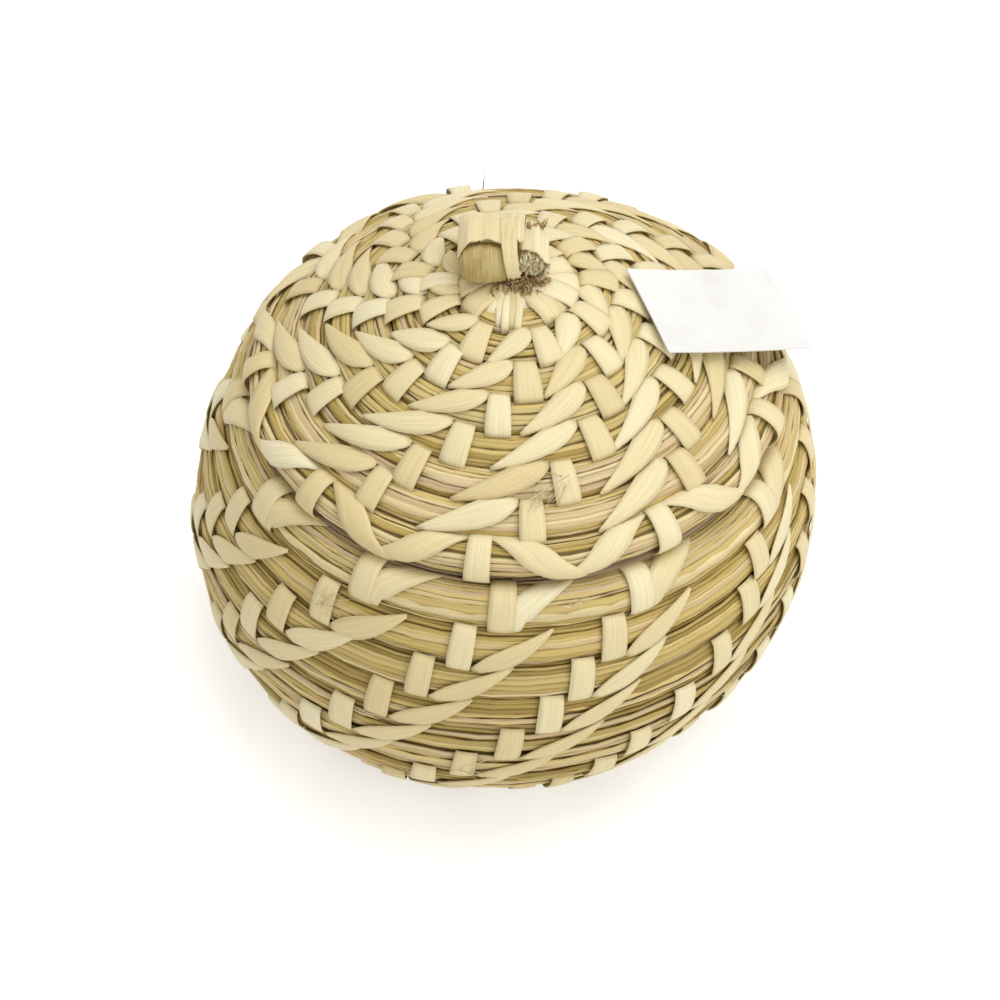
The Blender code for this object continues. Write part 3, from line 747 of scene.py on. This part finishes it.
# Middle of the lid. Leaf strips run down from under the knob over the first round of the coil, and close
# the hole in its middle. The one in front is split into four narrow ribs.
CENTRE_STRIPS = 18
SET_ENDS = {0: 0.0152, 9: 0.0098}
INNER_END = 0.0008
centre = LeafSheet(lid, 600)
for number in range(CENTRE_STRIPS):
    upper = number < CENTRE_STRIPS // 2
    heading = FRONT - 0.06 + number * TAU / 9 + (0 if upper else TAU / 18)
    if number == 1:
        heading += 0.11
    elif number > 1:
        heading += centre.chance.uniform(-0.12, 0.12)
    round_share = (heading - FRONT + math.pi) % TAU / TAU - 0.5
    uneven = centre.chance.uniform(-0.0016, 0.0012) if number > 1 else 0
    outer_end = SET_ENDS.get(number, 0.0140 + LID_PITCH * round_share + uneven)
    reach = np.linspace(INNER_END, outer_end, 15)
    half = np.interp(reach, (INNER_END, 0.004, 0.009, outer_end), (0.0006, 0.0018, 0.0031, 0.0028))
    rise = np.interp(
        reach,
        (INNER_END, 0.003, 0.005, outer_end - 0.0026, outer_end - 0.0011, outer_end),
        (-0.0010, 0.0, 0.0005, 0.0006, 0.0, -0.0016),
    )
    rise = rise + centre.chance.uniform(0, 0.0002) - (0 if upper else 0.0003)
    height = np.interp(reach, lid_radii, lid_heights) + LID_HALF_DEPTH + rise
    outward = np.array((math.cos(heading), math.sin(heading)))
    sideways = np.array((-outward[1], outward[0]))
    ribs = (-0.78, -0.30, 0.22, 0.74) if number == 0 else (0.0,)
    rib_width = 0.30 if number == 0 else 1.0
    for rib in ribs:
        laid = []
        short = centre.chance.uniform(0.90, 1.0) if number == 0 else 1.0
        for share in np.linspace(-1, 1, 5):
            beside = (rib + share * rib_width) * half
            flat = (reach * short)[:, None] * outward + beside[:, None] * sideways
            crowned = height + 0.0002 * (1 - share ** 2)
            laid.append(np.column_stack((flat[:, 0] + LID_AXIS, flat[:, 1], crowned)))
        centre.lay(laid, reach, [share * half * rib_width for share in np.linspace(-1, 1, 5)])
centre_strips = centre.piece("lid_centre_strips", strip_material)
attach(centre_strips, "lid")

# Knob roll. A wide leaf rolled sideways into a small barrel, olive brown, with its fine grain running
# around it. It lies on the lid's top, and its ends show the rolled layers.
ROLL_MIDDLE = Vector((LID_AXIS - 0.0064, 0, 0.1311))
ROLL_RADIUS = 0.0048
ROLL_LENGTH = 0.0100
ROLL_LAYERS = ((0.0007, 0.0), (0.0006, -0.0006), (0.0007, 0.0005), (0.0006, -0.0006), (0.0006, 0.0004))


def body_material(name, stops, roughness, grain, patches, relief, streak):
    """Leaf or card on a solid piece, in soft patches. Its grain is stretched by a scale along each axis."""
    material, nodes, links, shader = bare_material(name, roughness)
    place = nodes.new("ShaderNodeTexCoord")
    patch = nodes.new("ShaderNodeTexNoise")
    patch.inputs["Scale"].default_value = patches
    patch.inputs["Detail"].default_value = 3.0
    links.new(place.outputs["Object"], patch.inputs["Vector"])
    colours = ramp(nodes, stops)
    links.new(patch.outputs["Fac"], colours.inputs["Fac"])
    shades = ((0.32, 1 - streak), (0.55, 1 - streak * 0.3), (0.72, 1.0))
    add_streaks(nodes, links, shader, colours, place.outputs["Object"], grain, shades, relief)
    return material


def pick_faces(item, test):
    """Select in edit mode the faces whose normal passes the test, and no others."""
    bpy.ops.mesh.select_mode(type="FACE")
    bpy.ops.mesh.select_all(action="DESELECT")
    shape = bmesh.from_edit_mesh(item.data)
    for face in shape.faces:
        face.select_set(test(face.normal))
    bmesh.update_edit_mesh(item.data)


def pick_edges(item, axis, longer_than):
    """Select in edit mode the edges that go on for longer than this along an axis, and no others."""
    bpy.ops.mesh.select_mode(type="EDGE")
    bpy.ops.mesh.select_all(action="DESELECT")
    shape = bmesh.from_edit_mesh(item.data)
    for edge in shape.edges:
        edge.select_set(abs(edge.verts[0].co[axis] - edge.verts[1].co[axis]) > longer_than)
    bmesh.update_edit_mesh(item.data)


bpy.ops.object.select_all(action="DESELECT")
bpy.ops.mesh.primitive_cylinder_add(
    vertices=40, radius=ROLL_RADIUS, depth=ROLL_LENGTH, location=ROLL_MIDDLE, rotation=(0, math.pi / 2, 0),
)
roll = bpy.context.object
roll.name = "knob_rolled_leaf"
bpy.ops.object.transform_apply(location=True, rotation=True, scale=True)
bpy.ops.object.mode_set(mode="EDIT")
pick_faces(roll, lambda normal: abs(normal.x) > 0.9)
for inset_by, pushed in ROLL_LAYERS:
    bpy.ops.mesh.inset(thickness=inset_by, use_individual=True)
    if pushed:
        bpy.ops.transform.shrink_fatten(value=-pushed)
pick_edges(roll, 0, longer_than=0.008)
bpy.ops.mesh.subdivide(number_cuts=7)
bpy.ops.object.mode_set(mode="OBJECT")
for vertex in roll.data.vertices:
    off = vertex.co - ROLL_MIDDLE
    share = min(1.0, abs(off.x) / (ROLL_LENGTH / 2))
    turned = math.atan2(off.z, off.y)
    fold = 1 + 0.022 * math.sin(3 * turned + 0.6) + 0.012 * math.sin(7 * turned + off.x * 900)
    narrow = fold * (1 - 0.16 * share ** 2.2)
    vertex.co.y = ROLL_MIDDLE.y + off.y * narrow
    vertex.co.z = ROLL_MIDDLE.z + off.z * narrow
roll.data.materials.append(body_material(
    "Olive brown rolled leaf",
    ((0.30, (0.40, 0.28, 0.08)), (0.48, (0.53, 0.41, 0.16)), (0.70, (0.68, 0.56, 0.27))),
    roughness=0.5, grain=(2600, 160, 160), patches=140, relief=0.5, streak=0.4,
))
bpy.ops.object.shade_smooth_by_angle(angle=math.radians(45))
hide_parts("knob_roll")
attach(roll, "lid")

# Knob strap. A wide pale leaf comes up from behind, over the roll, and ends there in a torn edge. A narrow
# part of it goes on down in front, between the roll and the stub.
strap = LeafSheet(lid, 700)
strap_path = np.array((
    (0.0180, 0.1252), (0.0174, 0.1285), (0.0162, 0.1318), (0.0135, 0.1345), (0.0095, 0.1362),
    (0.0050, 0.1369), (0.0015, 0.1371), (-0.0005, 0.1370), (-0.0014, 0.1367),
))
narrow_path = np.array((
    (0.0100, 0.1360), (0.0050, 0.1370), (0.0010, 0.1374), (-0.0022, 0.1368), (-0.0046, 0.1350),
    (-0.0056, 0.1328), (-0.0056, 0.1306),
))


def leaf_band(sheet, path, near, far, columns, torn, ripple, tone, fan=0.0, drift=0.0, hood=0.0, arch=0.0):
    """A leaf along a path of depths and heights, from side to side, with its last end torn."""
    rows = 24
    steps = lengths_along(path[:, 0], path[:, 1])
    laid = []
    shares = np.linspace(0, 1, columns)
    ragged = sheet.chance.uniform(0, 1, columns) * 0.35
    ragged += np.interp(shares, np.linspace(0, 1, 6), sheet.chance.uniform(0, 0.65, 6))
    for share, short in zip(shares, ragged):
        ends_at = steps[-1] * (1 - torn * short - arch * (1 - (2 * share - 1) ** 2))
        travelled = np.linspace(0, ends_at, rows)
        depth = np.interp(travelled, steps, path[:, 0])
        height = np.interp(travelled, steps, path[:, 1])
        near_side = max(0.0, 1 - share / 0.2) ** 1.5
        height = height - hood * near_side * np.clip(travelled / steps[-1] - 0.2, 0, 0.5)
        side = near + (far - near) * share + fan * (share - 0.5) * (travelled / steps[-1])
        side = side + drift * np.clip(travelled / steps[-1] - 0.4, 0, 1) ** 2
        height = height + ripple * np.sin(share * 17 + travelled * 180) * np.sin(math.pi * share)
        laid.append(np.column_stack((side * np.ones(rows), depth, height)))
    sheet.lay(laid, np.linspace(0, steps[-1], rows), [share * (far - near) for share in shares], tone)


leaf_band(
    strap, strap_path, near=-0.0098, far=0.0018, columns=41, torn=0.045, ripple=0.00018, tone=0.30,
    fan=0.0006, hood=0.0070, arch=0.085,
)
leaf_band(
    strap, strap_path[:8], near=0.0008, far=0.0060, columns=15, torn=0.12, ripple=0.00022, tone=0.45,
    fan=-0.0016,
)
leaf_band(
    strap, narrow_path, near=-0.0004, far=0.0040, columns=9, torn=0.10, ripple=0.00016, tone=0.20,
    fan=-0.0014, drift=0.0040,
)
strap_piece = strap.piece("knob_strap_leaf", strip_material)
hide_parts("knob_strap")
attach(strap_piece, "lid")

# Knob stub. The cut end of the bundle that the coil begins with, a sheaf of coarse fibres with a ragged
# end towards the front.
STUB_MIDDLE = Vector((LID_AXIS + 0.0043, 0, 0.1312))
STUB_RADIUS = 0.0030
STUB_FIBRES = 130
GOLDEN_TURN = 2.39996


def strands(name, ways, seed, material, sides, steps):
    """Single fibres as thin closed prisms: start, direction, length, thickness, bend and tone of each."""
    chance = np.random.default_rng(seed)
    points = []
    faces = []
    tones = []
    grain = []
    for start, direction, length, thickness, bend, tone in ways:
        start = np.array(start, float)
        direction = np.array(direction, float)
        direction = direction / np.linalg.norm(direction)
        aside = np.cross(direction, (0.31, 0.23, 0.92))
        aside = aside / np.linalg.norm(aside)
        above = np.cross(aside, direction)
        roll_by = chance.uniform(0, TAU)
        faces.extend(prism_faces(len(points), steps, sides))
        for step in range(steps + 1):
            share = step / steps
            middle = start + direction * length * share + np.array(bend, float) * share ** 2
            thin = thickness * (1 - 0.75 * max(0.0, share - 0.5) * 2) if length > 3 * thickness else thickness
            for side in range(sides):
                turned = roll_by + side * TAU / sides
                points.append(tuple(middle + (aside * math.cos(turned) + above * math.sin(turned)) * thin))
                tones.append(tone)
                grain.append((share * length * 100, side + tone * 40))
    return add_mesh(name, points, faces, tones, grain, material)


sheaf_chance = np.random.default_rng(41)
sheaf = []
for number in range(STUB_FIBRES):
    spread = STUB_RADIUS * math.sqrt((number + 0.5) / STUB_FIBRES)
    turned = number * GOLDEN_TURN
    begin = -0.0012 + sheaf_chance.uniform(-0.0009, 0.0010) + (0.0007 if number % 5 == 0 else 0)
    sheaf.append((
        (STUB_MIDDLE.x + spread * math.cos(turned), begin, STUB_MIDDLE.z + spread * math.sin(turned)),
        (sheaf_chance.uniform(-0.03, 0.03), 1, sheaf_chance.uniform(-0.03, 0.03) - 0.03),
        0.0108 + sheaf_chance.uniform(-0.001, 0.001),
        0.00033 * sheaf_chance.uniform(0.7, 1.2),
        (0, 0, -0.0006),
        float(np.clip(sheaf_chance.normal(0.74, 0.24), 0, 1)),
    ))
sheaf_material = leaf_material(
    "Cut grass end",
    (
        (0.00, (0.42, 0.28, 0.11)),
        (0.30, (0.66, 0.50, 0.25)),
        (0.55, (0.80, 0.67, 0.39)),
        (1.00, (0.93, 0.85, 0.60)),
    ),
    roughness=0.6, across=8.0, along=0.4, relief=0.5, streak=0.35,
)
stub = strands("knob_cut_bundle", sheaf, 42, sheaf_material, sides=5, steps=4)
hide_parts("knob_stub")
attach(stub, "lid")

# Knob leaf. A pale leaf lies over the stub from behind and folds down along its right side.
side_leaf = LeafSheet(lid, 710)
laid = []
turns = np.radians(np.linspace(-62, 128, 17))
for index, turned in enumerate(turns):
    radius = 0.00385 + 0.0004 * math.sin(index * 1.3)
    last_part = max(0.0, (math.degrees(turned) - 60) / 70)
    begin = -0.0022 + side_leaf.chance.uniform(0, 0.0012) + 0.0030 * last_part
    depth = np.linspace(begin, 0.0098, 12)
    flare = 1 + 0.10 * np.clip((0.002 - depth) / 0.004, 0, 1) + 0.12 * np.clip((depth - 0.006) / 0.004, 0, 1)
    sink = 0.0016 * np.clip((depth - 0.003) / 0.007, 0, 1) ** 2
    laid.append(np.column_stack((
        STUB_MIDDLE.x + radius * flare * math.cos(turned),
        depth,
        STUB_MIDDLE.z + radius * flare * math.sin(turned) - sink,
    )))
side_leaf.lay(laid, np.linspace(0, 0.012, 12), [turned * 0.0038 for turned in turns], 0.8)
side_piece = side_leaf.piece("knob_side_leaf", strip_material, 0.0004)
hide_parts("knob_leaf")
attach(side_piece, "lid")

# Knob wrap. Brown torn fibres are packed under the stub and the roll, and a tuft of them stands behind.
fibre_material = leaf_material(
    "Brown torn fibre",
    (
        (0.00, (0.34, 0.19, 0.07)),
        (0.40, (0.55, 0.35, 0.15)),
        (0.75, (0.68, 0.48, 0.23)),
        (1.00, (0.80, 0.63, 0.36)),
    ),
    roughness=0.7, across=6.0, along=0.4, relief=0.5, streak=0.4,
)
fibre_chance = np.random.default_rng(51)
fibres = []
for number in range(420):
    heading = fibre_chance.uniform(0, TAU)
    apart = fibre_chance.uniform(0.0005, 0.0046)
    begin_x = LID_AXIS + 0.0036 + apart * math.cos(heading)
    begin_y = -0.0008 + apart * math.sin(heading)
    lean = heading + fibre_chance.uniform(-0.9, 0.9)
    fibres.append((
        (begin_x, begin_y, fibre_chance.uniform(0.1262, 0.1282)),
        (math.cos(lean), math.sin(lean), fibre_chance.uniform(-0.35, 0.30)),
        fibre_chance.uniform(0.0008, 0.0020),
        fibre_chance.uniform(0.00014, 0.00030),
        (0, 0, -0.0004),
        fibre_chance.uniform(0, 1),
    ))
for number in range(150):
    across = fibre_chance.uniform(-0.0052, 0.0030)
    fibres.append((
        (LID_AXIS + across, fibre_chance.uniform(-0.0050, -0.0015), fibre_chance.uniform(0.1262, 0.1270)),
        (fibre_chance.uniform(-0.5, 0.7), -1, fibre_chance.uniform(-0.15, 0.05)),
        fibre_chance.uniform(0.0010, 0.0024),
        fibre_chance.uniform(0.00010, 0.00022),
        (fibre_chance.uniform(-0.0005, 0.0005), 0, -0.0004),
        fibre_chance.uniform(0, 1),
    ))
for number in range(26):
    fibres.append((
        (LID_AXIS + fibre_chance.uniform(0.0028, 0.0078), fibre_chance.uniform(0.0082, 0.0100),
         fibre_chance.uniform(0.1325, 0.1345)),
        (fibre_chance.uniform(-0.5, 0.5), fibre_chance.uniform(-0.2, 0.9), fibre_chance.uniform(0.3, 1.0)),
        fibre_chance.uniform(0.0014, 0.0028),
        fibre_chance.uniform(0.00016, 0.00036),
        (0, 0, -0.0004),
        fibre_chance.uniform(0, 0.8),
    ))
wrap = strands("knob_fibres", fibres, 52, fibre_material, sides=3, steps=3)
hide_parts("knob_wrap")
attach(wrap, "lid")

# Card. A small blank card of stiff white paper lies flat on the lid's right shoulder and reaches over the
# rim. It is cut with square corners and has curled a little.
card_low, card_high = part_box("paper_card")
CARD_LENGTH = 0.0426
CARD_WIDTH = 0.0258
CARD_THICKNESS = 0.00035
CARD_TURN = math.radians(23.4)
CARD_SLOPE = math.radians(23.43)
card_middle = (Vector(card_low) + Vector(card_high)) / 2
bpy.ops.object.select_all(action="DESELECT")
bpy.ops.mesh.primitive_cube_add(size=1, scale=(CARD_LENGTH, CARD_WIDTH, CARD_THICKNESS))
card = bpy.context.object
card.name = "blank_card"
bpy.ops.object.transform_apply(location=True, rotation=True, scale=True)
bpy.ops.object.mode_set(mode="EDIT")
pick_edges(card, 2, longer_than=0.0001)
bpy.ops.mesh.bevel(offset=0.0005, segments=3)
for axis_number, cuts in ((0, 13), (1, 9)):
    size = (CARD_LENGTH, CARD_WIDTH)[axis_number]
    for cut in range(1, cuts + 1):
        bpy.ops.mesh.select_all(action="SELECT")
        cut_at = [0.0, 0.0, 0.0]
        cut_at[axis_number] = -size / 2 + size * cut / (cuts + 1)
        cut_normal = [0.0, 0.0, 0.0]
        cut_normal[axis_number] = 1.0
        bpy.ops.mesh.bisect(plane_co=cut_at, plane_no=cut_normal)
bpy.ops.object.mode_set(mode="OBJECT")
for vertex in card.data.vertices:
    along_share = vertex.co.x / CARD_LENGTH * 2
    across_share = vertex.co.y / CARD_WIDTH * 2
    curl = 0.0005 * along_share ** 2 - 0.0003 * across_share ** 2
    vertex.co.z += curl + 0.0005 * max(0.0, -along_share - 0.55) * max(0.0, across_share)
card_turned = Matrix.Rotation(CARD_SLOPE, 4, "Y") @ Matrix.Rotation(CARD_TURN, 4, "Z")
card.data.transform(Matrix.Translation(card_middle) @ card_turned)
card.data.materials.append(body_material(
    "White card",
    ((0.25, (0.71, 0.70, 0.66)), (0.50, (0.765, 0.76, 0.735)), (0.75, (0.79, 0.79, 0.775))),
    roughness=0.75, grain=(900, 900, 900), patches=70, relief=0.12, streak=0.03,
))
bpy.ops.object.shade_smooth_by_angle(angle=math.radians(40))
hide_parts("paper_card")
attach(card, "lid")

# Loose fibres. Here and there a leaf strip has frayed, and a grass end stands out of the coil.
fray_material = leaf_material(
    "Frayed leaf",
    ((0.00, (0.66, 0.52, 0.26)), (0.50, (0.82, 0.71, 0.43)), (1.00, (0.88, 0.81, 0.58))),
    roughness=0.5, across=6.0, along=0.4, relief=0.3, streak=0.15,
)


def frayed(name, bundle, spots, seed):
    """Fine fibres on a bundle. A spot has an angle, a way along the wall, how many and how long."""
    chance = np.random.default_rng(seed)
    ways = []
    for angle, along, count, length, spread in spots:
        for _ in range(count):
            here = math.radians(angle) + chance.normal(0, 0.022)
            at = along + chance.normal(0, 0.0012)
            out = bundle.half_depth + chance.uniform(0.0008, 0.0014)
            start = bundle.place(np.float64(here), at, out)
            beyond = at + chance.normal(0.0012, 0.0014) * spread
            ahead = bundle.place(np.float64(here - 0.03), beyond, out + 0.0002)
            ways.append((
                start,
                ahead - start + chance.normal(0, 0.0004, 3),
                length * chance.uniform(0.5, 1.2),
                chance.uniform(0.00005, 0.00011),
                chance.normal(0, 0.0007, 3),
                chance.uniform(0, 1),
            ))
    return strands(name, ways, seed, fray_material, sides=3, steps=5)


lid_fray = frayed("lid_frayed_fibres", lid, ((-706, 0.0, 16, 0.006, 1.0), (-712, 0.001, 14, 0.007, 1.4)), 61)
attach(lid_fray, "lid")
bowl_fray = frayed(
    "bowl_frayed_fibres",
    bowl,
    ((-324, 0.0, 18, 0.006, 1.2), (-11, 0.001, 10, 0.005, 1.0), (-1794, 0.0, 12, 0.009, 1.6)),
    62,
)
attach(bowl_fray, "bowl")
grass_end = strands(
    "loose_grass_end",
    [((-0.0052, 0.0605, 0.0985), (0.05, 0.35, 0.95), 0.0062, 0.00022, (0.0004, 0.0004, 0), 0.1)],
    63, fibre_material, sides=4, steps=6,
)
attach(grass_end, "lid")
